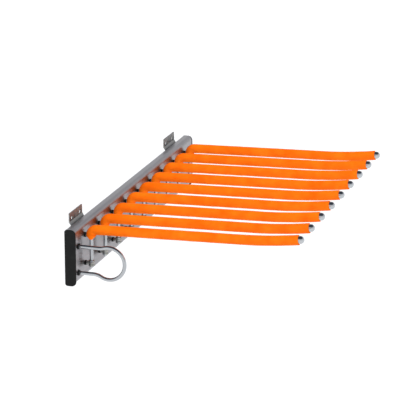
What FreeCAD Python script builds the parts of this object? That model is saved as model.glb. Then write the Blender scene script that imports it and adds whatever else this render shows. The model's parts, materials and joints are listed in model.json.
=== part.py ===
"""Wall rail with nine swivelling, foam-covered arms for hanging boots to dry.

Frame: the wall is the plane y = 0 and the rack stands out from it towards -Y. +X runs along
the rail, from the end with the wire loop to the far end. +Z is up. The origin lies on the
wall plane, midway between the two brackets, on the line of their screw holes.
Every arm is one bent bar. Its vertical leg turns in two eye bolts in front of the rail.
"""
import FreeCAD
import Part
import math
import os

os.makedirs("parts", exist_ok=True)

# ---------------------------------------------------------------- driving sizes, mm
ARMS = 9
PITCH = 106.0
FIRST_ARM_X = -PITCH * (ARMS - 1) / 2

RAIL_LENGTH = 994.0
RAIL_FRONT_Y = -40.0
RAIL_BACK_Y = -11.0
RAIL_TOP_Z = -8.5
RAIL_BOTTOM_Z = -157.5
RAIL_WALL = 2.5
RAIL_FRONT_R = 12.0
RAIL_BACK_R = 6.0
RAIL_LIP = 39.5

CAP_FLANGE = 3.0
CAP_OVERHANG = 1.0
CAP_OVERHANG_LOW = 5.5
CAP_PLUG = 8.0
CAP_PLUG_WALL = 2.5
CAP_PLUG_GAP = 0.2
CAP_EDGE_R = 1.2

BRACKET_X = 392.0
BRACKET_WIDTH = 95.0
BRACKET_SHEET = 2.5
BRACKET_TOP_Z = 17.0
BRACKET_BEND_TOP_Z = -7.0
BRACKET_BEND_LOW_Z = -21.0
BRACKET_LOW_Z = -46.0
BRACKET_CORNER_R = 2.5
WALL_HOLE_R = 5.25
WALL_HOLE_SPACING = 60.0

M6_R = 3.0
M6_HOLE_R = 3.2
M6_NUT_FLATS = 10.0
M6_NUT_HIGH = 5.0
BRACKET_SCREW_SPACING = 50.0
BRACKET_SCREW_Z = -36.0
BUTTON_HEAD_R = 5.25
BUTTON_HEAD_HIGH = 3.3
HEX_SOCKET_FLATS = 4.0
HEX_SOCKET_DEEP = 1.8

BUFFER_R = 11.0
BUFFER_Z = -138.0
BUFFER_BULB_R = 4.0
BUFFER_BULB_LONG = 3.5

BAR_R = 5.0
LEG_Y = -57.0
ARM_Z = -26.0
LEG_END_Z = -131.0
BAR_BEND_R = 10.0
ARM_REACH = 571.0
ARM_STRAIGHT = 408.0
ARM_SLOPE_DEG = 1.63
ARM_TIP_TURN_DEG = 7.0
BAR_CHAMFER = 1.0

EYE_UPPER_Z = -41.5
EYE_LOWER_Z = -119.0
EYE_R = 7.5
EYE_BORE_R = 5.05
EYE_HIGH = 6.0
EYE_SHANK_END_Y = -31.0
SPACER_R = 6.5
SPACER_LONG = 3.0

COLLAR_R = 8.0
COLLAR_HIGH = 5.0
COLLAR_GAP = 0.3

FOAM_R = 13.5
FOAM_BORE_R = 5.2
FOAM_HOOD_R = 8.0
FOAM_HOOD_TOP = -9.5
FOAM_FOOT_Z = -24.0
FOAM_FOOT_BACK_Y = -1.0
FOAM_FOOT_FRONT_Y = -6.5
FOAM_HEEL_Z = -13.0
FOAM_BEND_R = 16.0

DOME_R = 10.5
DOME_SKIRT = 4.0

LOOP_X = -477.0
LOOP_WIRE_R = 5.0
LOOP_RING_R = 44.0
LOOP_RING_Y = -124.5
LOOP_RING_Z = -98.0
LOOP_UPPER_Z = -58.0
LOOP_LOWER_Z = -130.5
LOOP_NECK_R = 40.0
LOOP_END_Y = -26.0
GROMMET_R = 8.0
GROMMET_FRONT = 3.0
GROMMET_SLEEVE_R = 6.2
GROMMET_HOLE_R = 6.3
M10_NUT_FLATS = 16.0
M10_NUT_HIGH = 8.0

X_AXIS = FreeCAD.Vector(1, 0, 0)
Y_AXIS = FreeCAD.Vector(0, 1, 0)
Z_AXIS = FreeCAD.Vector(0, 0, 1)
MIDDLE = FreeCAD.Vector(0, 0, 0)

arm_x = [FIRST_ARM_X + PITCH * i for i in range(ARMS)]
eye_z = (EYE_UPPER_Z, EYE_LOWER_Z)


# ---------------------------------------------------------------- small helpers
def vec(x, y, z):
    return FreeCAD.Vector(x, y, z)


def along_y(radius, y0, y1, x, z):
    """Round bar from y0 to y1."""
    return Part.makeCylinder(radius, y1 - y0, vec(x, y0, z), Y_AXIS)


def along_z(radius, z0, z1, x, y):
    """Round bar from z0 to z1."""
    return Part.makeCylinder(radius, z1 - z0, vec(x, y, z0), Z_AXIS)


def box(x0, x1, y0, y1, z0, z1):
    return Part.makeBox(x1 - x0, y1 - y0, z1 - z0, vec(x0, y0, z0))


def hexagon(flats, y0, y1, x, z):
    """Hexagonal prism along Y, by its width across flats."""
    corner = flats / math.sqrt(3)
    points = []
    for i in range(7):
        a = math.radians(60 * i)
        points.append(vec(x + corner * math.cos(a), y0, z + corner * math.sin(a)))
    return Part.Face(Part.makePolygon(points)).extrude(vec(0, y1 - y0, 0))


def prism_yz(points, x0, x1):
    """Prism along X over a closed outline of (y, z) points."""
    outline = [vec(x0, y, z) for y, z in points + points[:1]]
    return Part.Face(Part.makePolygon(outline)).extrude(vec(x1 - x0, 0, 0))


def rounded_bar(x0, x1, grow, front_r, back_r, low=None, high=None):
    """The rail's outer section, grown or shrunk, from x0 to x1.

    low and high are the growth below and above, where it differs from the sides.
    """
    low = grow if low is None else low
    high = grow if high is None else high
    y0 = RAIL_FRONT_Y - grow
    y1 = RAIL_BACK_Y + grow
    bar = box(x0, x1, y0, y1, RAIL_BOTTOM_Z - low, RAIL_TOP_Z + high)
    front = []
    back = []
    for edge in bar.Edges:
        box_of = edge.BoundBox
        if box_of.XLength < x1 - x0 - 0.001:
            continue
        (front if box_of.Center.y < (y0 + y1) / 2 else back).append(edge)
    bar = bar.makeFillet(front_r, front)
    back_again = []
    for edge in bar.Edges:
        box_of = edge.BoundBox
        straight = box_of.XLength > x1 - x0 - 0.001 and box_of.YLength < 0.001
        if straight and abs(box_of.Center.y - y1) < 0.001:
            back_again.append(edge)
    return bar.makeFillet(back_r, back_again)


def save(name, shapes):
    """Write one node: a single solid, or a group of separate identical solids."""
    shapes = shapes if isinstance(shapes, list) else [shapes]
    solids = []
    for shape in shapes:
        found = shape.removeSplitter().Solids
        if len(found) != 1 or not found[0].isValid() or found[0].Volume <= 0:
            raise ValueError(name + " is not one valid solid")
        solids.append(found[0])
    node = solids[0] if len(solids) == 1 else Part.makeCompound(solids)
    node.exportStep("parts/" + name + ".step")
    size = node.BoundBox
    print("%-22s %2d solid(s) %9.0f mm3  %6.1f x %6.1f x %6.1f" % (
        name, len(solids), node.Volume, size.XLength, size.YLength, size.ZLength))


# ---------------------------------------------------------------- rail
def make_rail():
    half = RAIL_LENGTH / 2
    rail = rounded_bar(-half, half, 0.0, RAIL_FRONT_R, RAIL_BACK_R)
    inner = rounded_bar(-half - 1, half + 1, -RAIL_WALL, RAIL_FRONT_R - RAIL_WALL,
                        RAIL_BACK_R - RAIL_WALL)
    rail = rail.cut(inner)
    slot = box(-half - 1, half + 1, RAIL_BACK_Y - RAIL_WALL - 1, RAIL_BACK_Y + 1,
               RAIL_BOTTOM_Z + RAIL_LIP, RAIL_TOP_Z - RAIL_LIP)
    rail = rail.cut(slot)
    front = (RAIL_FRONT_Y - 1, RAIL_FRONT_Y + RAIL_WALL + 1)
    back = (RAIL_BACK_Y - RAIL_WALL - 1, RAIL_BACK_Y + 1)
    holes = [along_y(M6_HOLE_R, *front, x, z) for x in arm_x for z in eye_z]
    holes += [along_y(GROMMET_HOLE_R, *front, LOOP_X, z) for z in (LOOP_UPPER_Z, LOOP_LOWER_Z)]
    for side in (-1, 1):
        for end in (-1, 1):
            x = side * BRACKET_X + end * BRACKET_SCREW_SPACING / 2
            holes.append(along_y(M6_HOLE_R, *back, x, BRACKET_SCREW_Z))
        holes.append(along_y(M6_HOLE_R, *back, side * BRACKET_X, BUFFER_Z))
    return rail.cut(Part.makeCompound(holes))


def make_end_cap(side):
    """Moulded cap: a flange over the end of the rail and a hollow plug inside it."""
    end = RAIL_LENGTH / 2
    flange = rounded_bar(end, end + CAP_FLANGE, CAP_OVERHANG, RAIL_FRONT_R + CAP_OVERHANG,
                         RAIL_BACK_R + CAP_OVERHANG, low=CAP_OVERHANG_LOW, high=0.0)
    rim = [e for e in flange.Edges if abs(e.BoundBox.XMin - end - CAP_FLANGE) < 0.001]
    flange = flange.makeFillet(CAP_EDGE_R, rim)
    inset = -RAIL_WALL - CAP_PLUG_GAP
    plug = rounded_bar(end - CAP_PLUG, end + 1, inset, RAIL_FRONT_R + inset,
                       RAIL_BACK_R + inset)
    deep = inset - CAP_PLUG_WALL
    hollow = rounded_bar(end - CAP_PLUG - 1, end, deep, RAIL_FRONT_R + deep, 0.5)
    cap = flange.fuse(plug).cut(hollow)
    return cap if side > 0 else cap.mirror(MIDDLE, X_AXIS)


# ---------------------------------------------------------------- wall brackets
def make_bracket(side):
    """Z-bent plate: the upper leaf lies on the wall, the lower leaf on the rail's back."""
    back = 0.0
    step = RAIL_BACK_Y + BRACKET_SHEET
    outline = [
        (back, BRACKET_TOP_Z), (back, BRACKET_BEND_TOP_Z), (step, BRACKET_BEND_LOW_Z),
        (step, BRACKET_LOW_Z), (step - BRACKET_SHEET, BRACKET_LOW_Z),
        (step - BRACKET_SHEET, BRACKET_BEND_LOW_Z + 1), (back - BRACKET_SHEET,
                                                         BRACKET_BEND_TOP_Z + 1),
        (back - BRACKET_SHEET, BRACKET_TOP_Z),
    ]
    x0 = side * BRACKET_X - BRACKET_WIDTH / 2
    x1 = x0 + BRACKET_WIDTH
    plate = prism_yz(outline, x0, x1)
    corners = []
    for edge in plate.Edges:
        span = edge.BoundBox
        across = span.XLength < 0.001 and span.ZLength < 0.001
        if across and (span.ZMin > BRACKET_TOP_Z - 0.01 or span.ZMax < BRACKET_LOW_Z + 0.01):
            corners.append(edge)
    plate = plate.makeFillet(BRACKET_CORNER_R, corners)
    for end in (-1, 1):
        x = side * BRACKET_X + end * WALL_HOLE_SPACING / 2
        plate = plate.cut(along_y(WALL_HOLE_R, -BRACKET_SHEET - 1, 1, x, 0.0))
        x = side * BRACKET_X + end * BRACKET_SCREW_SPACING / 2
        plate = plate.cut(along_y(M6_HOLE_R, RAIL_BACK_Y - 1, 0, x, BRACKET_SCREW_Z))
    return plate


def make_bracket_screw(x):
    """Button-head screw, put in from the wall side."""
    seat = RAIL_BACK_Y + BRACKET_SHEET
    end = RAIL_BACK_Y - RAIL_WALL - M6_NUT_HIGH - 1.5
    head = along_y(BUTTON_HEAD_R, seat, seat + BUTTON_HEAD_HIGH, x, BRACKET_SCREW_Z)
    rim = [e for e in head.Edges
           if len(e.Vertexes) == 1 and e.BoundBox.YMin > seat + BUTTON_HEAD_HIGH - 0.01]
    head = head.makeFillet(BUTTON_HEAD_HIGH * 0.6, rim)
    socket = hexagon(HEX_SOCKET_FLATS, seat + BUTTON_HEAD_HIGH - HEX_SOCKET_DEEP,
                     seat + BUTTON_HEAD_HIGH + 1, x, BRACKET_SCREW_Z)
    return head.fuse(along_y(M6_R, end, seat, x, BRACKET_SCREW_Z)).cut(socket)


def make_nut(flats, bore_r, y0, y1, x, z):
    """Hexagon nut with turned-down corners, axis along Y."""
    cone_r = flats / math.sqrt(3)
    nut = hexagon(flats, y0, y1, x, z)
    drum = along_y(cone_r, y0, y1, x, z)
    rims = [e for e in drum.Edges if len(e.Vertexes) == 1 and e.Closed]
    drum = drum.makeChamfer(cone_r - flats / 2 + 0.1, rims)
    return nut.common(drum).cut(along_y(bore_r, y0 - 1, y1 + 1, x, z))


def make_wall_buffer(side):
    """Rubber foot that keeps the rail's lower edge off the wall."""
    x = side * BRACKET_X
    inside = RAIL_BACK_Y - RAIL_WALL
    foot = along_y(BUFFER_R, RAIL_BACK_Y, 0.0, x, BUFFER_Z)
    rim = [e for e in foot.Edges if len(e.Vertexes) == 1 and e.BoundBox.YMin > -0.01]
    foot = foot.makeFillet(1.5, rim)
    stem = along_y(M6_HOLE_R, inside - 1, RAIL_BACK_Y, x, BUFFER_Z)
    bulb = along_y(BUFFER_BULB_R, inside - BUFFER_BULB_LONG, inside, x, BUFFER_Z)
    return foot.fuse(stem).fuse(bulb)


# ---------------------------------------------------------------- arms
def tip_arc(y0, z0, length, angle_deg):
    """The upward curve that ends an arm: three points of an arc that starts along angle_deg."""
    radius = length / math.radians(ARM_TIP_TURN_DEG)
    points = []
    for share in (0.0, 0.5, 1.0):
        turn = math.radians(ARM_TIP_TURN_DEG) * share
        ahead = radius * math.sin(turn)
        rise = radius * (1 - math.cos(turn))
        a = math.radians(angle_deg)
        points.append((y0 - ahead * math.cos(a) + rise * math.sin(a),
                       z0 + ahead * math.sin(a) + rise * math.cos(a)))
    return points


def arm_stations():
    """(y, z) of the corner, the end of the straight run, and the points of the tip's arc."""
    a = math.radians(ARM_SLOPE_DEG)
    y1 = LEG_Y - ARM_STRAIGHT * math.cos(a)
    z1 = ARM_Z + ARM_STRAIGHT * math.sin(a)
    return tip_arc(y1, z1, ARM_REACH - ARM_STRAIGHT, ARM_SLOPE_DEG)


def leg_bend(radius):
    """(y, z) of the three points of the arc between the leg and the arm."""
    turn = math.radians(90 - ARM_SLOPE_DEG)
    set_back = radius * math.tan(turn / 2)
    points = []
    for share in (0.0, 0.5, 1.0):
        t = turn * share
        points.append((LEG_Y - radius * (1 - math.cos(t)),
                       ARM_Z - set_back + radius * math.sin(t)))
    return points


def arc_edge(x, points):
    return Part.Arc(*[vec(x, y, z) for y, z in points]).toShape()


def line_edge(x, start, end):
    return Part.makeLine(vec(x, *start), vec(x, *end))


def pipe(edges, radius, start, direction):
    """Sweep a circle along tangent edges."""
    ring = Part.Wire([Part.makeCircle(radius, start, direction)])
    return Part.Wire(edges).makePipeShell([ring], True, False)


def arm_path(x, low_z, bend_radius):
    """A centre line from low_z on the leg, round the bend and out to the tip."""
    bend = leg_bend(bend_radius)
    tip = arm_stations()
    return [
        line_edge(x, (LEG_Y, low_z), bend[0]),
        arc_edge(x, bend),
        line_edge(x, bend[2], tip[0]),
        arc_edge(x, tip),
    ]


def make_arm_bar(x):
    bar = pipe(arm_path(x, LEG_END_Z, BAR_BEND_R), BAR_R, vec(x, LEG_Y, LEG_END_Z), Z_AXIS)
    rim = [e for e in bar.Edges if e.BoundBox.ZMax < LEG_END_Z + 0.01]
    return bar.makeChamfer(BAR_CHAMFER, rim)


def tip_direction():
    """Unit vector along the bar where it ends."""
    a = math.radians(ARM_SLOPE_DEG + ARM_TIP_TURN_DEG)
    return vec(0, -math.cos(a), math.sin(a))


def make_foam_sleeve(x):
    """Foam tube over the arm. Its foot wraps the upper eye and is slotted at the back."""
    foot_z = ARM_Z + FOAM_FOOT_Z
    outer = pipe(arm_path(x, foot_z, FOAM_BEND_R), FOAM_R, vec(x, LEG_Y, foot_z), Z_AXIS)
    beyond = 2 * FOAM_R
    trim_points = [
        (FOAM_FOOT_BACK_Y, FOAM_FOOT_Z), (FOAM_R, FOAM_HEEL_Z), (beyond, FOAM_HEEL_Z),
        (beyond, -beyond - 20), (-beyond, -beyond - 20), (-beyond, -FOAM_R - 0.1),
        (-FOAM_R - 0.5, -FOAM_R - 0.1), (FOAM_FOOT_FRONT_Y, FOAM_FOOT_Z),
    ]
    trim = prism_yz([(LEG_Y + y, ARM_Z + z) for y, z in trim_points], x - 20, x + 20)
    last = vec(x, *arm_stations()[2])
    back = last.sub(tip_direction() * DOME_SKIRT)
    end_cut = Part.makeCylinder(2 * FOAM_R, 20, back, tip_direction())
    bore = pipe(arm_path(x, ARM_Z - 40, BAR_BEND_R), FOAM_BORE_R, vec(x, LEG_Y, ARM_Z - 40), Z_AXIS)
    hood = along_z(FOAM_HOOD_R, ARM_Z - 40, ARM_Z + FOAM_HOOD_TOP, x, LEG_Y)
    slot = box(x - FOAM_HOOD_R, x + FOAM_HOOD_R, LEG_Y, LEG_Y + 20, ARM_Z - 40,
               ARM_Z + FOAM_HOOD_TOP)
    return outer.cut([trim, end_cut, bore, hood.fuse(slot)])


def make_end_dome(x):
    """Domed metal cap pushed on to the bar's end: a short skirt and a hemisphere."""
    tip = arm_stations()
    ahead = tip_direction()
    last = vec(x, *tip[2])
    back = last.sub(ahead * DOME_SKIRT)
    skirt = Part.makeCylinder(DOME_R, DOME_SKIRT, back, ahead)
    ball = Part.makeSphere(DOME_R, last)
    dome = skirt.fuse(ball.cut(Part.makeCylinder(2 * DOME_R, 2 * DOME_R,
                                                 last.sub(ahead * 2 * DOME_R), ahead)))
    bar = make_arm_bar(x)
    return dome.cut(bar)


def make_eye(x, z):
    """Eye bolt: a ring round the leg and a shank that goes back through the rail's face."""
    ring = along_z(EYE_R, z - EYE_HIGH / 2, z + EYE_HIGH / 2, x, LEG_Y)
    rims = [e for e in ring.Edges if len(e.Vertexes) == 1 and e.Closed]
    ring = ring.makeFillet(0.8, rims)
    shank = along_y(M6_R, LEG_Y, EYE_SHANK_END_Y, x, z)
    eye = ring.fuse(shank)
    return eye.cut(along_z(EYE_BORE_R, z - EYE_HIGH, z + EYE_HIGH, x, LEG_Y))


def make_spacer(x, z):
    ring = along_y(SPACER_R, RAIL_FRONT_Y - SPACER_LONG, RAIL_FRONT_Y, x, z)
    rim = [e for e in ring.Edges
           if len(e.Vertexes) == 1 and e.BoundBox.YMax < RAIL_FRONT_Y - SPACER_LONG + 0.01]
    ring = ring.makeFillet(1.0, rim)
    return ring.cut(along_y(M6_R, RAIL_FRONT_Y - 2 * SPACER_LONG, RAIL_FRONT_Y + 1, x, z))


def make_collars(x):
    """Two shaft collars on the leg, one above and one below the lower eye."""
    rings = []
    for low in (EYE_LOWER_Z + EYE_HIGH / 2 + COLLAR_GAP,
                EYE_LOWER_Z - EYE_HIGH / 2 - COLLAR_GAP - COLLAR_HIGH):
        ring = along_z(COLLAR_R, low, low + COLLAR_HIGH, x, LEG_Y)
        rims = [e for e in ring.Edges if len(e.Vertexes) == 1 and e.Closed]
        ring = ring.makeFillet(0.7, rims)
        rings.append(ring.cut(along_z(BAR_R, low - 1, low + COLLAR_HIGH + 1, x, LEG_Y)))
    return rings


# ---------------------------------------------------------------- wire loop
def loop_leg(leg_z, up):
    """One leg of the loop: the centre of its neck arc, and where that arc meets the ring."""
    neck_z = leg_z + up * LOOP_NECK_R
    reach = LOOP_RING_R + LOOP_NECK_R
    neck_y = LOOP_RING_Y + math.sqrt(reach ** 2 - (neck_z - LOOP_RING_Z) ** 2)
    share = LOOP_RING_R / reach
    meet = (LOOP_RING_Y + (neck_y - LOOP_RING_Y) * share,
            LOOP_RING_Z + (neck_z - LOOP_RING_Z) * share)
    start = (neck_y, leg_z)
    a0 = math.atan2(leg_z - neck_z, 0.0)
    a1 = math.atan2(meet[1] - neck_z, meet[0] - neck_y)
    if a1 - a0 > math.pi:
        a1 -= 2 * math.pi
    if a0 - a1 > math.pi:
        a1 += 2 * math.pi
    half = (a0 + a1) / 2
    middle = (neck_y + LOOP_NECK_R * math.cos(half), neck_z + LOOP_NECK_R * math.sin(half))
    return start, middle, meet


def make_loop():
    """Teardrop of round bar whose two ends go back through the rail's face."""
    upper = loop_leg(LOOP_UPPER_Z, 1)
    lower = loop_leg(LOOP_LOWER_Z, -1)
    front = (LOOP_RING_Y - LOOP_RING_R, LOOP_RING_Z)
    edges = [
        line_edge(LOOP_X, (LOOP_END_Y, LOOP_UPPER_Z), upper[0]),
        arc_edge(LOOP_X, upper),
        arc_edge(LOOP_X, (upper[2], front, lower[2])),
        arc_edge(LOOP_X, lower[::-1]),
        line_edge(LOOP_X, lower[0], (LOOP_END_Y, LOOP_LOWER_Z)),
    ]
    return pipe(edges, LOOP_WIRE_R, vec(LOOP_X, LOOP_END_Y, LOOP_UPPER_Z), Y_AXIS)


def make_grommet(z):
    front = along_y(GROMMET_R, RAIL_FRONT_Y - GROMMET_FRONT, RAIL_FRONT_Y, LOOP_X, z)
    rim = [e for e in front.Edges
           if len(e.Vertexes) == 1 and e.BoundBox.YMax < RAIL_FRONT_Y - GROMMET_FRONT + 0.01]
    front = front.makeFillet(1.2, rim)
    sleeve = along_y(GROMMET_SLEEVE_R, RAIL_FRONT_Y - 1, RAIL_FRONT_Y + RAIL_WALL, LOOP_X, z)
    bore = along_y(LOOP_WIRE_R, RAIL_FRONT_Y - 10, RAIL_FRONT_Y + 10, LOOP_X, z)
    return front.fuse(sleeve).cut(bore)


# ---------------------------------------------------------------- write the nodes
inside_front = RAIL_FRONT_Y + RAIL_WALL
inside_back = RAIL_BACK_Y - RAIL_WALL

save("rail_channel", make_rail())
save("end_cap_left", make_end_cap(-1))
save("end_cap_right", make_end_cap(1))
save("wall_bracket_left", make_bracket(-1))
save("wall_bracket_right", make_bracket(1))

screw_x = [side * BRACKET_X + end * BRACKET_SCREW_SPACING / 2
           for side in (-1, 1) for end in (-1, 1)]
save("bracket_screws", [make_bracket_screw(x) for x in screw_x])
save("bracket_nuts", [make_nut(M6_NUT_FLATS, M6_R, inside_back - M6_NUT_HIGH, inside_back,
                               x, BRACKET_SCREW_Z) for x in screw_x])
save("wall_buffers", [make_wall_buffer(side) for side in (-1, 1)])

save("hanging_loop", make_loop())
loop_ends = (LOOP_UPPER_Z, LOOP_LOWER_Z)
save("loop_grommets", [make_grommet(z) for z in loop_ends])
save("loop_nuts", [make_nut(M10_NUT_FLATS, LOOP_WIRE_R, inside_front,
                            inside_front + M10_NUT_HIGH, LOOP_X, z) for z in loop_ends])

save("eye_spacers", [make_spacer(x, z) for x in arm_x for z in eye_z])
nut_starts = (inside_front, RAIL_FRONT_Y - SPACER_LONG - M6_NUT_HIGH)
save("eye_nuts", [make_nut(M6_NUT_FLATS, M6_R, y, y + M6_NUT_HIGH, x, z)
                  for x in arm_x for z in eye_z for y in nut_starts])

for number, x in enumerate(arm_x, 1):
    save("hinge_eyes_%d" % number, [make_eye(x, z) for z in eye_z])
    save("arm_bar_%d" % number, make_arm_bar(x))
    save("leg_collars_%d" % number, make_collars(x))
    save("foam_sleeve_%d" % number, make_foam_sleeve(x))
    save("end_dome_%d" % number, make_end_dome(x))
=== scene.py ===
# %% [markdown]
# # A wall rack for drying boots
# A boot hangs upside down over each foam-covered arm, and the water runs out of it. The rack is
# a metal channel with nine bent bars in front of it. Each bar stands in two eye bolts, so it
# swivels a little to let a wide boot in. The metal parts come ready-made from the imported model
# and keep their shape. This script gives them their finishes, and makes the foam sleeves and
# the small screws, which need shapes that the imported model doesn't have.

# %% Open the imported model
import json
import math

import bmesh
import bpy
import numpy as np
from mathutils import Matrix, Vector


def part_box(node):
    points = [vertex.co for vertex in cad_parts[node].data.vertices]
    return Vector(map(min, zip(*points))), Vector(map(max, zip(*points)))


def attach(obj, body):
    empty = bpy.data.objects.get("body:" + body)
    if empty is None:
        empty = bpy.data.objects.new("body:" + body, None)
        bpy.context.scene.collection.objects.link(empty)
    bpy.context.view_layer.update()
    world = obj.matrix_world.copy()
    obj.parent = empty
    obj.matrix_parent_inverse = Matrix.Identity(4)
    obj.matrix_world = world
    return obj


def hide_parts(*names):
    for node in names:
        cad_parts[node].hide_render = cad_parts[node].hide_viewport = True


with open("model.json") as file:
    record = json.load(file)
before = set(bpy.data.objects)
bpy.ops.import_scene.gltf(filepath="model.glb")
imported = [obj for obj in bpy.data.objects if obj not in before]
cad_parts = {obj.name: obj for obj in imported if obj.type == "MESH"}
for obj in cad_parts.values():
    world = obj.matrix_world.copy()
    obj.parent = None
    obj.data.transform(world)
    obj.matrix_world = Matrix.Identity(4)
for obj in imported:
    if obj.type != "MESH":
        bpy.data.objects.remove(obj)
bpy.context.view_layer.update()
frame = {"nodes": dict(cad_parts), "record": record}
nodes = frame["nodes"]
ARMS = sum(name.startswith("arm_bar_") for name in nodes)
MM = 0.001

# %% [markdown]
# ## The camera
# A long lens from far away keeps parallel arms nearly parallel. The camera stands beyond the
# end of the rail that carries the wire loop, a little in front of the wall and above the rack.
# Its three axes are built from the way it looks and the way up, with a cross product.

# %% Place the camera
CAMERA_AT = Vector((-5.609, -2.002, 1.714))
LOOK = Vector((0.91303, 0.28952, -0.28732)).normalized()
LENS_MM = 198.0
SENSOR_MM = 36.0

right = LOOK.cross(Vector((0, 0, 1))).normalized()
up = right.cross(LOOK)
camera_data = bpy.data.cameras.new("Camera")
camera_data.lens = LENS_MM
camera_data.sensor_width = SENSOR_MM
camera_data.clip_end = 200.0
camera = bpy.data.objects.new("Camera", camera_data)
turned = Matrix((right, up, -LOOK)).transposed().to_4x4()
camera.matrix_world = Matrix.Translation(CAMERA_AT) @ turned
bpy.context.scene.collection.objects.link(camera)
bpy.context.scene.camera = camera
print("camera distance, m:", round(CAMERA_AT.length, 2))

# %% [markdown]
# ## Two small tools
# Colours are written as the hex values that a paint chart gives. Those are sRGB, and a shader
# works in linear light, so one function converts them. A second function adds a node to any
# tree, with its settings, its links and, for a colour ramp, its stops. It is used for shaders
# and Geometry Nodes alike.


# %% Colour and node tools
def colour(hex_value):
    """Linear RGBA from an sRGB hex value such as #FD7D16."""
    parts = [int(hex_value[i:i + 2], 16) / 255 for i in (1, 3, 5)]
    linear = [c / 12.92 if c <= 0.04045 else ((c + 0.055) / 1.055) ** 2.4 for c in parts]
    return (*linear, 1.0)


def add(tree, kind, inputs=None, stops=(), **settings):
    """One new node. Each input is another node's output socket or a plain value.

    A list as an input joins several sockets to it. Stops are (position, hex colour) pairs.
    """
    node = tree.nodes.new(kind)
    for name, value in settings.items():
        setattr(node, name, value)
    for key, value in (inputs or {}).items():
        for item in value if isinstance(value, list) else [value]:
            if isinstance(item, bpy.types.NodeSocket):
                tree.links.new(item, node.inputs[key])
            else:
                node.inputs[key].default_value = item
    for number, (position, hex_value) in enumerate(stops):
        elements = node.color_ramp.elements
        stop = elements[number] if number < len(elements) else elements.new(position)
        stop.position = position
        stop.color = colour(hex_value)
    return node


print("tools ready; white is", colour("#FFFFFF"))

# %% [markdown]
# ## Light and floor
# Metal shows what stands round it, so the light matters as much as the finish. The world is a
# room with pale walls and a dark ceiling, by height: the walls give the rail's top its tone,
# and the ceiling draws the dark line along each chrome bar. One very soft sun stands for a big
# diffuser above the camera, and it reaches the whole floor evenly. Its disc is so wide that it
# would bleach the chrome, so the lamp is kept out of reflections; a real lamp would show there.
# The floor is pale and lies well below the rack, as under a rack on a wall, and its bounce
# lights the arms from below.

# %% Build the room
FLOOR_Z = -1.1
FLOOR_HALF = 60.0
SUN_STRENGTH = 3.15
SUN_WIDTH = math.radians(80)
SUN_FROM = Vector((-0.45, -0.50, 1.0))

scene = bpy.context.scene
scene.view_settings.view_transform = "Standard"
world = bpy.data.worlds.new("Studio")
world.use_nodes = True
scene.world = world
sky = world.node_tree
sky.nodes.clear()
direction = add(sky, "ShaderNodeTexCoord").outputs["Generated"]
height = add(sky, "ShaderNodeSeparateXYZ", {"Vector": direction}).outputs["Z"]
room = add(sky, "ShaderNodeValToRGB", {"Fac": height}, [
    (0.0, "#F2F1F1"), (0.2, "#F4F4F6"), (0.42, "#F0F1F5"), (0.62, "#5A5F68"), (1.0, "#41464F")])
background = add(sky, "ShaderNodeBackground", {"Color": room.outputs["Color"], "Strength": 1.0})
add(sky, "ShaderNodeOutputWorld", {"Surface": background.outputs["Background"]})

sun_data = bpy.data.lights.new("Diffuser", "SUN")
sun_data.energy = SUN_STRENGTH
sun_data.angle = SUN_WIDTH
sun = bpy.data.objects.new("Diffuser", sun_data)
sun.rotation_euler = SUN_FROM.to_track_quat("Z", "Y").to_euler()
sun.visible_glossy = False
scene.collection.objects.link(sun)

floor_mesh = bpy.data.meshes.new("floor")
around = ((-1, -1), (1, -1), (1, 1), (-1, 1))
corners = [(x * FLOOR_HALF, y * FLOOR_HALF, FLOOR_Z) for x, y in around]
floor_mesh.from_pydata(corners, [], [(0, 1, 2, 3)])
floor = bpy.data.objects.new("floor", floor_mesh)
scene.collection.objects.link(floor)

floor_paint = bpy.data.materials.new("Matt white floor paint")
floor_paint.use_nodes = True
floor_shader = floor_paint.node_tree.nodes["Principled BSDF"]
floor_shader.inputs["Base Color"].default_value = colour("#FAFAFA")
floor_shader.inputs["Roughness"].default_value = 1.0
floor_shader.inputs["Specular IOR Level"].default_value = 0.0
floor_mesh.materials.append(floor_paint)
print("floor at", FLOOR_Z, "m")


# %% [markdown]
# ## Starting a material
# Every finish starts the same way: an empty tree, one Principled shader and the Object
# coordinates. All pieces sit at the origin, so Object coordinates are real places in metres,
# and a pattern made of them lies still on the rack and has a true size.


# %% Material starter
def new_material(name, base, metallic, roughness, **more):
    """A material, its tree, its shader and a socket with places in metres."""
    material = bpy.data.materials.new(name)
    material.use_nodes = True
    tree = material.node_tree
    shader = tree.nodes["Principled BSDF"]
    shader.inputs["Base Color"].default_value = colour(base)
    shader.inputs["Metallic"].default_value = metallic
    shader.inputs["Roughness"].default_value = roughness
    for setting, value in more.items():
        shader.inputs[setting.replace("_", " ")].default_value = value
    places = add(tree, "ShaderNodeTexCoord").outputs["Object"]
    return material, tree, shader, places


print("materials start from Object coordinates")

# %% [markdown]
# ## Brushed stainless steel, for the rail
# A rolled stainless channel is brushed lengthwise with a belt. The scratches are hair-fine, so
# here they are drawn about a millimetre apart, as coarse as they need to be to show, and each
# is several centimetres long. They vary the roughness, tilt the surface a little and carry a
# slight change of tone. Wide, soft clouds stand for uneven pressure of the belt. Brushing
# smears reflections across the grain. Anisotropy does that, and it needs the direction across
# the grain on every face: the cross product of the face's normal and the rail's length.

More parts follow.
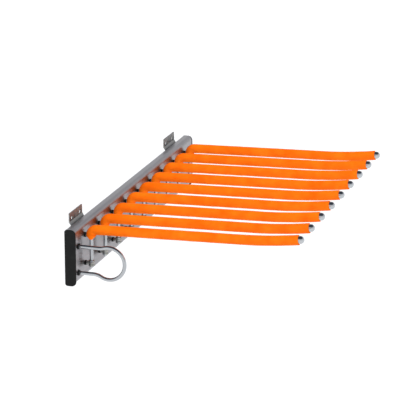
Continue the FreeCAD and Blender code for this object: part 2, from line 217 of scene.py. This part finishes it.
# %% Stainless steel
GRAIN_MM = (70.0, 1.1, 1.1)
CLOUD_MM = 55.0
steel, tree, shader, places = new_material(
    "Brushed stainless steel", "#929092", 1.0, 0.34, Anisotropic=0.65)
stretched = add(tree, "ShaderNodeMapping", {
    "Vector": places, "Scale": tuple(1 / (size * MM) for size in GRAIN_MM)})
grain = add(tree, "ShaderNodeTexNoise", {
    "Vector": stretched.outputs["Vector"], "Scale": 1.0, "Detail": 3.0})
clouds = add(tree, "ShaderNodeTexNoise", {
    "Vector": places, "Scale": 1 / (CLOUD_MM * MM), "Detail": 2.0})
tone = add(tree, "ShaderNodeMix", {
    "Factor": 0.35, "A": grain.outputs["Fac"], "B": clouds.outputs["Fac"]})
metal = add(tree, "ShaderNodeValToRGB", {"Fac": tone.outputs["Result"]}, [
    (0.3, "#7E7C7F"), (0.7, "#A2A0A3")])
tree.links.new(metal.outputs["Color"], shader.inputs["Base Color"])
rough = add(tree, "ShaderNodeMapRange", {
    "Value": tone.outputs["Result"], "From Min": 0.3, "From Max": 0.7,
    "To Min": 0.28, "To Max": 0.4})
tree.links.new(rough.outputs["Result"], shader.inputs["Roughness"])
bump = add(tree, "ShaderNodeBump", {
    "Height": grain.outputs["Fac"], "Strength": 0.12, "Distance": 0.2 * MM})
tree.links.new(bump.outputs["Normal"], shader.inputs["Normal"])
normal = add(tree, "ShaderNodeNewGeometry").outputs["Normal"]
across = add(tree, "ShaderNodeVectorMath", {0: normal, 1: (1.0, 0.0, 0.0)},
             operation="CROSS_PRODUCT")
tree.links.new(across.outputs["Vector"], shader.inputs["Tangent"])
print(steel.name, "grain, mm:", GRAIN_MM)

# %% [markdown]
# ## Galvanised sheet, for the wall brackets
# The brackets are pressed from hot-dip galvanised sheet. The zinc freezes in flat crystals
# about a centimetre across, called spangle, and each one shines a little differently. A Voronoi
# pattern has just those cells. Its random cell colour sets the tone and the roughness, and a
# noise bends the borders of the cells so that they aren't straight.

# %% Galvanised sheet
SPANGLE_MM = 9.0
WOBBLE_MM = 14.0
WOBBLE_DEEP_MM = 6.0
galvanised, tree, shader, places = new_material("Hot-dip galvanised steel", "#929290", 1.0, 0.45)
wobble = add(tree, "ShaderNodeTexNoise", {
    "Vector": places, "Scale": 1 / (WOBBLE_MM * MM), "Detail": 3.0})
bent = add(tree, "ShaderNodeVectorMath", {
    0: wobble.outputs["Color"], "Scale": WOBBLE_DEEP_MM * MM}, operation="SCALE")
moved = add(tree, "ShaderNodeVectorMath", {0: places, 1: bent.outputs["Vector"]},
            operation="ADD")
spangle = add(tree, "ShaderNodeTexVoronoi", {
    "Vector": moved.outputs["Vector"], "Scale": 1 / (SPANGLE_MM * MM)})
cell = add(tree, "ShaderNodeSeparateColor", {"Color": spangle.outputs["Color"]}).outputs["Red"]
frost = add(tree, "ShaderNodeValToRGB", {"Fac": cell}, [
    (0.0, "#7F8082"), (0.5, "#929290"), (1.0, "#A5A49F")])
tree.links.new(frost.outputs["Color"], shader.inputs["Base Color"])
rough = add(tree, "ShaderNodeMapRange", {"Value": cell, "To Min": 0.36, "To Max": 0.55})
tree.links.new(rough.outputs["Result"], shader.inputs["Roughness"])
bump = add(tree, "ShaderNodeBump", {
    "Height": wobble.outputs["Fac"], "Strength": 0.15, "Distance": 0.3 * MM})
tree.links.new(bump.outputs["Normal"], shader.inputs["Normal"])
print(galvanised.name, "spangle, mm:", SPANGLE_MM)

# %% [markdown]
# ## Chrome, for the bars, the tips and the loop
# The bars are drawn steel with a thin layer of bright chrome. Chrome is a near-perfect mirror
# with a slightly dark, cool tone. A real one has a faint ripple from drawing and a film of
# hand marks, so the roughness drifts a little and a very weak bump bends the reflections.


# %% Chrome
MARKS_MM = 22.0


def make_chrome(name, base, ripple_mm, film):
    """Chrome plate whose reflections wander over a ripple of the given size."""
    material, tree, shader, places = new_material(name, base, 1.0, 0.06)
    marks = add(tree, "ShaderNodeTexNoise", {
        "Vector": places, "Scale": 1 / (MARKS_MM * MM), "Detail": 4.0})
    rough = add(tree, "ShaderNodeMapRange", {
        "Value": marks.outputs["Fac"], "From Min": 0.35, "From Max": 0.75,
        "To Min": 0.04, "To Max": film})
    tree.links.new(rough.outputs["Result"], shader.inputs["Roughness"])
    ripple = add(tree, "ShaderNodeTexNoise", {
        "Vector": places, "Scale": 1 / (ripple_mm * MM), "Detail": 1.0})
    bump = add(tree, "ShaderNodeBump", {
        "Height": ripple.outputs["Fac"], "Strength": 0.1, "Distance": 0.4 * MM})
    tree.links.new(bump.outputs["Normal"], shader.inputs["Normal"])
    return material


bar_chrome = make_chrome("Chrome-plated drawn steel", "#B4B7BA", 12.0, 0.14)
dome_chrome = make_chrome("Bright chrome, polished domes", "#BCC0C3", 9.0, 0.09)
print(bar_chrome.name, "and", dome_chrome.name)

# %% [markdown]
# ## Zinc plating, for eye bolts, nuts, screws and collars
# Clear zinc plate is greyer and duller than chrome, with a faint blue and yellow bloom where
# the coating is thinner or thicker. Turned collars get soft rings, which a Wave texture along
# the leg draws. It fits a ring into every 0.31 of its size, so they lie 3.8 mm apart.


# %% Zinc plate
BLOOM_MM = 7.0
WAVE_MM = 12.0


def make_zinc(name, stops, roughness, turned):
    """Zinc plate with a soft bloom, and with rings along the leg where it is turned."""
    material, tree, shader, places = new_material(name, stops[0][1], 1.0, roughness)
    bloom = add(tree, "ShaderNodeTexNoise", {
        "Vector": places, "Scale": 1 / (BLOOM_MM * MM), "Detail": 3.0})
    tint = add(tree, "ShaderNodeValToRGB", {"Fac": bloom.outputs["Fac"]}, stops)
    tree.links.new(tint.outputs["Color"], shader.inputs["Base Color"])
    rough = add(tree, "ShaderNodeMapRange", {
        "Value": bloom.outputs["Fac"], "To Min": roughness - 0.08, "To Max": roughness + 0.1})
    tree.links.new(rough.outputs["Result"], shader.inputs["Roughness"])
    height = bloom.outputs["Fac"]
    if turned:
        rings = add(tree, "ShaderNodeTexWave", {"Vector": places, "Scale": 1 / (WAVE_MM * MM)},
                    wave_type="BANDS", bands_direction="Z")
        height = rings.outputs["Fac"]
    bump = add(tree, "ShaderNodeBump", {
        "Height": height, "Strength": 0.12, "Distance": 0.2 * MM})
    tree.links.new(bump.outputs["Normal"], shader.inputs["Normal"])
    return material


ZINC = [(0.3, "#8E9296"), (0.5, "#A7A79F"), (0.7, "#9BA0A8")]
zinc = make_zinc("Zinc-plated steel", ZINC, 0.32, False)
turned_zinc = make_zinc("Zinc-plated steel, turned", ZINC, 0.28, True)
print(zinc.name, "and", turned_zinc.name)

# %% [markdown]
# ## Moulded polypropylene and rubber
# The end caps are black polypropylene from a spark-eroded mould, so their skin is a fine even
# pebble that scatters a soft sheen. Spacers, grommets and feet are black rubber, which is
# rougher and duller and picks up a little grey dust. A pebble about a millimetre across stands
# for the real, finer texture.


# %% Plastic and rubber
DUST_MM = 18.0


def make_black(name, stops, roughness, specular, pebble_mm, strength):
    """A black moulded skin: pebbled, with dust that dulls it here and there."""
    material, tree, shader, places = new_material(
        name, stops[0][1], 0.0, roughness, IOR=1.5, Specular_IOR_Level=specular)
    pebble = add(tree, "ShaderNodeTexVoronoi", {
        "Vector": places, "Scale": 1 / (pebble_mm * MM)})
    dust = add(tree, "ShaderNodeTexNoise", {
        "Vector": places, "Scale": 1 / (DUST_MM * MM), "Detail": 5.0})
    tint = add(tree, "ShaderNodeValToRGB", {"Fac": dust.outputs["Fac"]}, stops)
    tree.links.new(tint.outputs["Color"], shader.inputs["Base Color"])
    rough = add(tree, "ShaderNodeMapRange", {
        "Value": dust.outputs["Fac"], "To Min": roughness - 0.1, "To Max": roughness + 0.12})
    tree.links.new(rough.outputs["Result"], shader.inputs["Roughness"])
    bump = add(tree, "ShaderNodeBump", {
        "Height": pebble.outputs["Distance"], "Strength": strength, "Distance": 0.15 * MM})
    tree.links.new(bump.outputs["Normal"], shader.inputs["Normal"])
    return material


cap_plastic = make_black(
    "Moulded polypropylene, black",
    [(0.35, "#0C0D0D"), (0.6, "#111211"), (0.8, "#1B1C1B")], 0.55, 0.2, 1.1, 0.3)
rubber = make_black(
    "Moulded rubber, black",
    [(0.35, "#101010"), (0.65, "#191919"), (0.85, "#2C2B2A")], 0.75, 0.3, 0.8, 0.3)
print(cap_plastic.name, "and", rubber.name)

# %% [markdown]
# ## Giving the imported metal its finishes
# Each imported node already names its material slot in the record. A table from slot to finish
# is enough: the slots of the node's object take the finish, and the mesh isn't touched.

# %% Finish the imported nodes
FINISH = {
    "rail_metal": steel,
    "cap_plastic": cap_plastic,
    "bracket_steel": galvanised,
    "zinc_fasteners": zinc,
    "eye_steel": zinc,
    "collar_steel": turned_zinc,
    "black_rubber": rubber,
    "chrome_bar": bar_chrome,
    "chrome_dome": dome_chrome,
}
slot_of = {part["node"]: part["material_slot"] for part in frame["record"]["subparts"]}
for name, node in nodes.items():
    if slot_of[name] in FINISH:
        for material_slot in node.material_slots:
            material_slot.material = FINISH[slot_of[name]]
print("finished", sum(slot in FINISH for slot in slot_of.values()), "nodes")

# %% [markdown]
# ## Closed-cell foam, for the sleeves
# The sleeves are extruded from closed-cell polyethylene foam and coloured through. The skin is
# matt, with faint lengthwise lines from the die and small pores, and a little fuzz that
# brightens the edges. The knife-cut ends have no skin: open cells make them rougher and a
# touch paler, and the hollow of each cell is painted darker as painted shade. The sleeve's
# mesh carries an attribute that says where it was cut.

# %% Foam
TONE_MM = 38.0
PORE_MM = 2.2
CELL_MM = 1.2
DIE_LINE_MM = (1.6, 60.0, 1.6)
foam, tree, shader, places = new_material(
    "Extruded polyethylene foam, orange", "#F56F0B", 0.0, 0.88, IOR=1.5,
    Sheen_Weight=0.03, Sheen_Roughness=0.5, Sheen_Tint=colour("#FF9A50"),
    Specular_IOR_Level=0.12)
stretched = add(tree, "ShaderNodeMapping", {
    "Vector": places, "Scale": tuple(1 / (size * MM) for size in DIE_LINE_MM)})
lines = add(tree, "ShaderNodeTexNoise", {
    "Vector": stretched.outputs["Vector"], "Scale": 1.0, "Detail": 2.0})
clouds = add(tree, "ShaderNodeTexNoise", {
    "Vector": places, "Scale": 1 / (TONE_MM * MM), "Detail": 4.0})
pores = add(tree, "ShaderNodeTexVoronoi", {"Vector": places, "Scale": 1 / (PORE_MM * MM)})
cells = add(tree, "ShaderNodeTexVoronoi", {"Vector": places, "Scale": 1 / (CELL_MM * MM)})
cut = add(tree, "ShaderNodeAttribute", attribute_name="cut").outputs["Fac"]
skin = add(tree, "ShaderNodeValToRGB", {"Fac": clouds.outputs["Fac"]}, [
    (0.3, "#EF6504"), (0.5, "#F56F0B"), (0.7, "#FA780F")])
# Cut faces: paler open-cell foam, with painted shade darkening the hollow of each cell.
cut_pale_and_pit_shade = add(tree, "ShaderNodeValToRGB", {"Fac": cells.outputs["Distance"]}, [
    (0.1, "#C85A08"), (0.5, "#FF8A2C")])
body = add(tree, "ShaderNodeMix", {
    "Factor": cut, 6: skin.outputs["Color"], 7: cut_pale_and_pit_shade.outputs["Color"]}, data_type="RGBA")
tree.links.new(body.outputs[2], shader.inputs["Base Color"])
relief = add(tree, "ShaderNodeMix", {
    "Factor": 0.5, "A": lines.outputs["Fac"], "B": pores.outputs["Distance"]})
deep = add(tree, "ShaderNodeMix", {
    "Factor": cut, "A": relief.outputs["Result"], "B": cells.outputs["Distance"]})
bump = add(tree, "ShaderNodeBump", {
    "Height": deep.outputs["Result"], "Strength": 0.35, "Distance": 0.3 * MM})
tree.links.new(bump.outputs["Normal"], shader.inputs["Normal"])
print(foam.name, "pores, mm:", PORE_MM)

# %% [markdown]
# ## The lines that a sleeve follows
# A bar goes up its leg, turns a right angle, runs out almost level and curls up a little at
# the tip. The foam slides over it, but it can't turn as sharply, so its skin takes a wider
# bend. One function gives the line out along the arm, another the turn up from the leg with
# any radius, and the two make every line the sleeve needs. All lines lie in the plane x = 0;
# the finished sleeves are moved to their arms later.

# %% Points along an arm
LEG_Y = -57.0
ARM_Z = -26.0
STRAIGHT = 408.0
REACH = 571.0
SLOPE = math.radians(1.63)
TIP_TURN = math.radians(7.0)
STEP = 4.0
BEND_POINTS = 25


def way_out(start, short):
    """(y, z) in mm along the arm, from start mm past the corner to short mm before its end."""
    points = []
    for s in np.linspace(start, STRAIGHT, int((STRAIGHT - start) / STEP)):
        points.append((LEG_Y - s * math.cos(SLOPE), ARM_Z + s * math.sin(SLOPE)))
    corner_y, corner_z = points[-1]
    radius = (REACH - STRAIGHT) / TIP_TURN
    for turn in np.linspace(0, TIP_TURN - short / radius, int((REACH - STRAIGHT) / STEP))[1:]:
        ahead, rise = radius * math.sin(turn), radius * (1 - math.cos(turn))
        points.append((corner_y - ahead * math.cos(SLOPE) + rise * math.sin(SLOPE),
                       corner_z + ahead * math.sin(SLOPE) + rise * math.cos(SLOPE)))
    return points


def turn_up(radius, low_z):
    """(y, z) up the leg from low_z and round a bend. Also how far past the corner it ends."""
    turn = math.pi / 2 - SLOPE
    set_back = radius * math.tan(turn / 2)
    points = [(LEG_Y, low_z)]
    for t in np.linspace(0, turn, BEND_POINTS):
        points.append((LEG_Y - radius * (1 - math.cos(t)),
                       ARM_Z - set_back + radius * math.sin(t)))
    return points, set_back


def line_object(name, points):
    """A curve object with one straight-segment spline through the points, in metres."""
    curve = bpy.data.curves.new(name, "CURVE")
    curve.dimensions = "3D"
    spline = curve.splines.new("POLY")
    spline.points.add(len(points) - 1)
    flat = [value for y, z in points for value in (0.0, y * MM, z * MM, 1.0)]
    spline.points.foreach_set("co", flat)
    made = bpy.data.objects.new(name, curve)
    scene.collection.objects.link(made)
    return made


print("points along the arm:", len(way_out(0.0, 0.0)))

# %% [markdown]
# ## The knife cuts at the foot
# The foam ends in a blunt foot round the upper eye bolt. A slot at the back lets the foot pass
# over the bolt's shank and nut and leaves a cheek on each side. Two slanting cuts, at the heel
# and at the toe, narrow the foot. Both cutting shapes are prisms across the foot, drawn as
# outlines from the side, and they reach well past the foam. A Boolean in the Geometry Nodes
# takes them away.

# %% The cutting prisms
FOAM_R = 13.4
HOOD_R = 8.0
HOOD_TOP = -9.5
FOOT_Z = -24.0
HEEL_Z = -13.0
TOE_Z = -13.6
WIDE = 2 * FOAM_R
DEEP = -45.0
TRIM_OUTLINE = [(-1.0, FOOT_Z), (13.5, HEEL_Z), (WIDE, HEEL_Z), (WIDE, DEEP), (-WIDE, DEEP),
                (-WIDE, TOE_Z), (-14.0, TOE_Z), (-6.5, FOOT_Z)]
SLOT_OUTLINE = [(0.0, HOOD_TOP), (WIDE, HOOD_TOP), (WIDE, DEEP), (0.0, DEEP)]


def prism_object(name, outline, half_width):
    """A prism across x = 0 over an outline of (y, z), measured from the arm's corner."""
    count = len(outline)
    points = [(side * half_width * MM, (LEG_Y + y) * MM, (ARM_Z + z) * MM)
              for side in (-1, 1) for y, z in outline]
    faces = [tuple(range(count)), tuple(range(2 * count - 1, count - 1, -1))]
    for i in range(count):
        j = (i + 1) % count
        faces.append((j, i, count + i, count + j))
    mesh = bpy.data.meshes.new(name)
    mesh.from_pydata(points, [], faces)
    shell = bmesh.new()
    shell.from_mesh(mesh)
    bmesh.ops.recalc_face_normals(shell, faces=shell.faces)
    shell.to_mesh(mesh)
    shell.free()
    made = bpy.data.objects.new(name, mesh)
    scene.collection.objects.link(made)
    return made


print("trim and slot outlines:", len(TRIM_OUTLINE), "and", len(SLOT_OUTLINE), "points")

# %% [markdown]
# ## Starting a Geometry Nodes tree
# A tree is a rule with named inputs. The modifier that runs it finds an input by the socket's
# identifier, which Blender makes, and not by its name, so the runner looks each one up. It
# then turns the evaluated result into a plain mesh and takes the modifier away.


# %% Tree and runner
def new_tree(name, sockets):
    """An empty tree with named inputs. Gives the tree, its inputs' sockets and its way out."""
    tree = bpy.data.node_groups.new(name, "GeometryNodeTree")
    tree.is_modifier = True
    for label, kind in sockets:
        tree.interface.new_socket(label, in_out="INPUT", socket_type="NodeSocket" + kind)
    tree.interface.new_socket("Geometry", in_out="OUTPUT", socket_type="NodeSocketGeometry")
    given = tree.nodes.new("NodeGroupInput").outputs
    result = tree.nodes.new("NodeGroupOutput").inputs[0]
    return tree, given, result


def run_tree(name, tree, values, points=()):
    """A plain mesh object made by the tree, from loose points if it needs them."""
    mesh = bpy.data.meshes.new(name)
    mesh.from_pydata(points, [], [])
    host = bpy.data.objects.new(name, mesh)
    scene.collection.objects.link(host)
    modifier = host.modifiers.new("rule", "NODES")
    modifier.node_group = tree
    for item in tree.interface.items_tree:
        if item.in_out == "INPUT" and item.name in values:
            modifier[item.identifier] = values[item.name]
    depsgraph = bpy.context.evaluated_depsgraph_get()
    made = bpy.data.meshes.new_from_object(
        host.evaluated_get(depsgraph), preserve_all_data_layers=True, depsgraph=depsgraph)
    made.name = name
    host.modifiers.clear()
    host.data = made
    return host


print("tree tools ready")

# %% [markdown]
# ## The sleeve's shape as a rule
# The first tree sweeps a circle along the skin's line and takes four things away from it: the
# bore, a round hood under the elbow, the slot and the trim. Where the result still lies a foam
# radius from the skin's line it is skin, and nearer than that it was cut. A proximity test
# writes this to an attribute, which the foam finish reads. The shape is the same for all arms,
# so the tree runs once.

# %% Build the shape tree
shape_tree, given, result = new_tree("Sleeve shape", [
    ("Skin line", "Object"), ("Bore line", "Object"), ("Trim", "Object"), ("Slot", "Object"),
    ("Foam radius", "Float"), ("Bore radius", "Float"), ("Hood radius", "Float"),
    ("Hood middle", "Vector"), ("Hood height", "Float"), ("Skin share", "Float")])
t = shape_tree
taken = {name: add(t, "GeometryNodeObjectInfo", {"Object": given[name]}).outputs["Geometry"]
         for name in ("Skin line", "Bore line", "Trim", "Slot")}
skin_ring = add(t, "GeometryNodeCurvePrimitiveCircle", {
    "Resolution": 64, "Radius": given["Foam radius"]})
bore_ring = add(t, "GeometryNodeCurvePrimitiveCircle", {
    "Resolution": 28, "Radius": given["Bore radius"]})
tube = add(t, "GeometryNodeCurveToMesh", {
    "Curve": taken["Skin line"], "Profile Curve": skin_ring.outputs["Curve"],
    "Fill Caps": True})
bore_tube = add(t, "GeometryNodeCurveToMesh", {
    "Curve": taken["Bore line"], "Profile Curve": bore_ring.outputs["Curve"],
    "Fill Caps": True})
hood = add(t, "GeometryNodeMeshCylinder", {
    "Vertices": 40, "Radius": given["Hood radius"], "Depth": given["Hood height"]})
hood_placed = add(t, "GeometryNodeTransform", {
    "Geometry": hood.outputs["Mesh"], "Translation": given["Hood middle"]})
sleeve = add(t, "GeometryNodeMeshBoolean", {
    "Mesh 1": tube.outputs["Mesh"],
    "Mesh 2": [bore_tube.outputs["Mesh"], hood_placed.outputs["Geometry"],
               taken["Slot"], taken["Trim"]]},
    operation="DIFFERENCE", solver="EXACT")
wire = add(t, "GeometryNodeCurveToMesh", {"Curve": taken["Skin line"]})
from_line = add(t, "GeometryNodeProximity", {"Geometry": wire.outputs["Mesh"]},
                target_element="EDGES")
share = add(t, "ShaderNodeMath", {
    0: from_line.outputs["Distance"], 1: given["Foam radius"]}, operation="DIVIDE")
is_cut = add(t, "ShaderNodeMath", {0: share.outputs[0], 1: given["Skin share"]},
             operation="LESS_THAN")
marked = add(t, "GeometryNodeStoreNamedAttribute", {
    "Geometry": sleeve.outputs["Mesh"], "Name": "cut", "Value": is_cut.outputs[0]},
    data_type="FLOAT", domain="POINT")
t.links.new(marked.outputs["Geometry"], result)
print("shape tree:", len(t.nodes), "nodes")

# %% Run the shape tree
BAR_BEND = 10.0
FOAM_BEND = 16.0
BORE_R = 5.2
SKIRT = 4.0
HOOD_DEEP = 36.0
SKIN_DEEP = 34.0
BORE_DEEP = 50.0
TRIM_HALF = 20.0
SKIN_SHARE = 0.96

skin_turn, skin_back = turn_up(FOAM_BEND, ARM_Z - SKIN_DEEP)
bore_turn, bore_back = turn_up(BAR_BEND, ARM_Z - BORE_DEEP)
helpers = {
    "Skin line": line_object("skin_line", skin_turn + way_out(skin_back + 1, SKIRT)),
    "Bore line": line_object("bore_line", bore_turn + way_out(bore_back + 1, -SKIRT)),
    "Trim": prism_object("trim", TRIM_OUTLINE, TRIM_HALF),
    "Slot": prism_object("slot", SLOT_OUTLINE, HOOD_R),
}
shape = run_tree("sleeve_shape", shape_tree, {
    **helpers,
    "Foam radius": FOAM_R * MM, "Bore radius": BORE_R * MM, "Hood radius": HOOD_R * MM,
    "Hood middle": (0.0, LEG_Y * MM, (ARM_Z + HOOD_TOP - HOOD_DEEP / 2) * MM),
    "Hood height": HOOD_DEEP * MM, "Skin share": SKIN_SHARE})
for helper in helpers.values():
    bpy.data.objects.remove(helper)
print("faces in the shape:", len(shape.data.polygons))

# %% [markdown]
# ## The foam's relief as a rule
# The second tree moves the shape to its arm and pushes the skin in and out a little: slow
# puffs along the tube, and folds that fan out from the tight inside of the elbow, where the
# foam is squeezed. The cut faces stay flat. Edges sharper than a limit stay crisp.

# %% Build the relief tree
relief_tree, given, result = new_tree("Sleeve relief", [
    ("Shape", "Object"), ("Place", "Vector"), ("Bend centre", "Vector"),
    ("Puff depth", "Float"), ("Puffs per metre", "Float"),
    ("Fold depth", "Float"), ("Folds in a turn", "Float"),
    ("Fold start", "Float"), ("Fold end", "Float"), ("Crisp angle", "Float"),
    ("Seed", "Float"), ("Foam", "Material")])
t = relief_tree
plain = add(t, "GeometryNodeObjectInfo", {"Object": given["Shape"]}).outputs["Geometry"]
cut_mark = add(t, "GeometryNodeInputNamedAttribute", {"Name": "cut"}, data_type="FLOAT")
position = add(t, "GeometryNodeInputPosition").outputs["Position"]
puffs = add(t, "ShaderNodeTexNoise", {
    "Vector": position, "W": given["Seed"], "Scale": given["Puffs per metre"], "Detail": 1.0},
    noise_dimensions="4D")
puff = add(t, "ShaderNodeMapRange", {
    "Value": puffs.outputs["Fac"], "From Min": 0.2, "From Max": 0.8,
    "To Min": -1.0, "To Max": 1.0})
puff_push = add(t, "ShaderNodeMath", {0: puff.outputs["Result"], 1: given["Puff depth"]},
                operation="MULTIPLY")
from_bend = add(t, "ShaderNodeVectorMath", {0: position, 1: given["Bend centre"]},
                operation="SUBTRACT")
part = add(t, "ShaderNodeSeparateXYZ", {"Vector": from_bend.outputs["Vector"]})
angle = add(t, "ShaderNodeMath", {0: part.outputs["Z"], 1: part.outputs["Y"]},
            operation="ARCTAN2")
wave = add(t, "ShaderNodeMath", {0: angle.outputs[0], 1: given["Folds in a turn"]},
           operation="MULTIPLY")
fold = add(t, "ShaderNodeMath", {0: wave.outputs[0]}, operation="COSINE")
flat = add(t, "ShaderNodeCombineXYZ", {"Y": part.outputs["Y"], "Z": part.outputs["Z"]})
reach = add(t, "ShaderNodeVectorMath", {0: flat.outputs["Vector"]}, operation="LENGTH")
fade = add(t, "ShaderNodeMapRange", {
    "Value": reach.outputs["Value"], "From Min": given["Fold start"],
    "From Max": given["Fold end"], "To Min": 1.0, "To Max": 0.0},
    interpolation_type="SMOOTHSTEP")
faded = add(t, "ShaderNodeMath", {0: fold.outputs[0], 1: fade.outputs["Result"]},
            operation="MULTIPLY")
fold_push = add(t, "ShaderNodeMath", {0: faded.outputs[0], 1: given["Fold depth"]},
                operation="MULTIPLY")
push = add(t, "ShaderNodeMath", {0: puff_push.outputs[0], 1: fold_push.outputs[0]},
           operation="ADD")
keep = add(t, "ShaderNodeMath", {0: 1.0, 1: cut_mark.outputs["Attribute"]},
           operation="SUBTRACT")
skin_push = add(t, "ShaderNodeMath", {0: push.outputs[0], 1: keep.outputs[0]},
                operation="MULTIPLY")
normal = add(t, "GeometryNodeInputNormal").outputs["Normal"]
offset = add(t, "ShaderNodeVectorMath", {0: normal, "Scale": skin_push.outputs[0]},
             operation="SCALE")
pushed = add(t, "GeometryNodeSetPosition", {"Geometry": plain, "Offset": offset.outputs["Vector"]})
placed = add(t, "GeometryNodeTransform", {
    "Geometry": pushed.outputs["Geometry"], "Translation": given["Place"]})
smooth = add(t, "GeometryNodeSetShadeSmooth", {
    "Geometry": placed.outputs["Geometry"], "Shade Smooth": True}, domain="FACE")
bend = add(t, "GeometryNodeInputMeshEdgeAngle").outputs["Unsigned Angle"]
gentle = add(t, "ShaderNodeMath", {0: bend, 1: given["Crisp angle"]}, operation="LESS_THAN")
edged = add(t, "GeometryNodeSetShadeSmooth", {
    "Geometry": smooth.outputs["Geometry"], "Shade Smooth": gentle.outputs[0]}, domain="EDGE")
real = add(t, "GeometryNodeRealizeInstances", {"Geometry": edged.outputs["Geometry"]})
dressed = add(t, "GeometryNodeSetMaterial", {
    "Geometry": real.outputs["Geometry"], "Material": given["Foam"]})
t.links.new(dressed.outputs["Geometry"], result)
print("relief tree:", len(t.nodes), "nodes")

# %% [markdown]
# ## Nine sleeves
# Each arm gets its own run of the relief tree, with its own seed, so that no two sleeves are
# quite the same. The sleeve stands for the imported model's plain one and rides on its arm.

# %% Make the sleeves
PUFF_MM = 0.3
FOLD_MM = 0.45
FOLD_START = 5.0
FOLD_END = 22.0
SEED_STEP = 3.7

for i in range(1, ARMS + 1):
    low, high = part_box(f"arm_bar_{i}")
    x = (low.x + high.x) / 2
    made = run_tree(f"sleeve_{i}", relief_tree, {
        "Shape": shape, "Place": (x, 0.0, 0.0),
        "Bend centre": (0.0, (LEG_Y - FOAM_BEND) * MM, (ARM_Z - FOAM_BEND) * MM),
        "Puff depth": PUFF_MM * MM, "Puffs per metre": 26.0,
        "Fold depth": FOLD_MM * MM, "Folds in a turn": 18.0,
        "Fold start": FOLD_START * MM, "Fold end": FOLD_END * MM,
        "Crisp angle": math.radians(38), "Seed": SEED_STEP * i, "Foam": foam})
    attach(made, f"arm_{i}")
    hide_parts(f"foam_sleeve_{i}")
bpy.data.objects.remove(shape)
print("faces in one sleeve:", len(made.data.polygons))

# %% [markdown]
# ## Grub screws in the collars
# Two collars on each leg hold it up and down, and each is locked with a small socket screw. All
# of them are one shape, so one tree makes it, a short cylinder with a six-sided hole, and
# places it on points. The points lie on the room side of the collars, one mesh for each arm.

# %% Make the grub screws
screw_tree, given, result = new_tree("Grub screws", [
    ("Geometry", "Geometry"), ("Screw radius", "Float"), ("Screw length", "Float"),
    ("Socket radius", "Float"), ("Turn", "Vector"), ("Steel", "Material")])
t = screw_tree
body = add(t, "GeometryNodeMeshCylinder", {
    "Vertices": 24, "Radius": given["Screw radius"], "Depth": given["Screw length"]})
socket = add(t, "GeometryNodeMeshCylinder", {
    "Vertices": 6, "Radius": given["Socket radius"], "Depth": given["Screw length"]})
half_out = add(t, "ShaderNodeMath", {0: given["Screw length"], 1: 0.5}, operation="MULTIPLY")
outward = add(t, "ShaderNodeCombineXYZ", {"Z": half_out.outputs[0]})
raised = add(t, "GeometryNodeTransform", {
    "Geometry": socket.outputs["Mesh"], "Translation": outward.outputs["Vector"]})
screw = add(t, "GeometryNodeMeshBoolean", {
    "Mesh 1": body.outputs["Mesh"], "Mesh 2": [raised.outputs["Geometry"]]},
    operation="DIFFERENCE", solver="EXACT")
placed = add(t, "GeometryNodeInstanceOnPoints", {
    "Points": given["Geometry"], "Instance": screw.outputs["Mesh"], "Rotation": given["Turn"]})
real = add(t, "GeometryNodeRealizeInstances", {"Geometry": placed.outputs["Instances"]})
dressed = add(t, "GeometryNodeSetMaterial", {
    "Geometry": real.outputs["Geometry"], "Material": given["Steel"]})
t.links.new(dressed.outputs["Geometry"], result)

COLLAR_HIGH = 5.0
COLLAR_R = 8.0
SCREW_R = 1.5
SCREW_LONG = 2.0
SOCKET_R = 0.85
SUNK = 0.6
for i in range(1, ARMS + 1):
    low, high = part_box(f"leg_collars_{i}")
    x = (low.x + high.x) / 2
    points = [(x, (LEG_Y - COLLAR_R + SUNK) * MM, z) for z in
              (low.z + COLLAR_HIGH / 2 * MM, high.z - COLLAR_HIGH / 2 * MM)]
    screws = run_tree(f"grub_screws_{i}", screw_tree, {
        "Screw radius": SCREW_R * MM, "Screw length": SCREW_LONG * MM,
        "Socket radius": SOCKET_R * MM,
        "Turn": (math.pi / 2, 0.0, 0.0), "Steel": zinc}, points)
    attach(screws, f"arm_{i}")
print("grub screws:", 2 * ARMS)
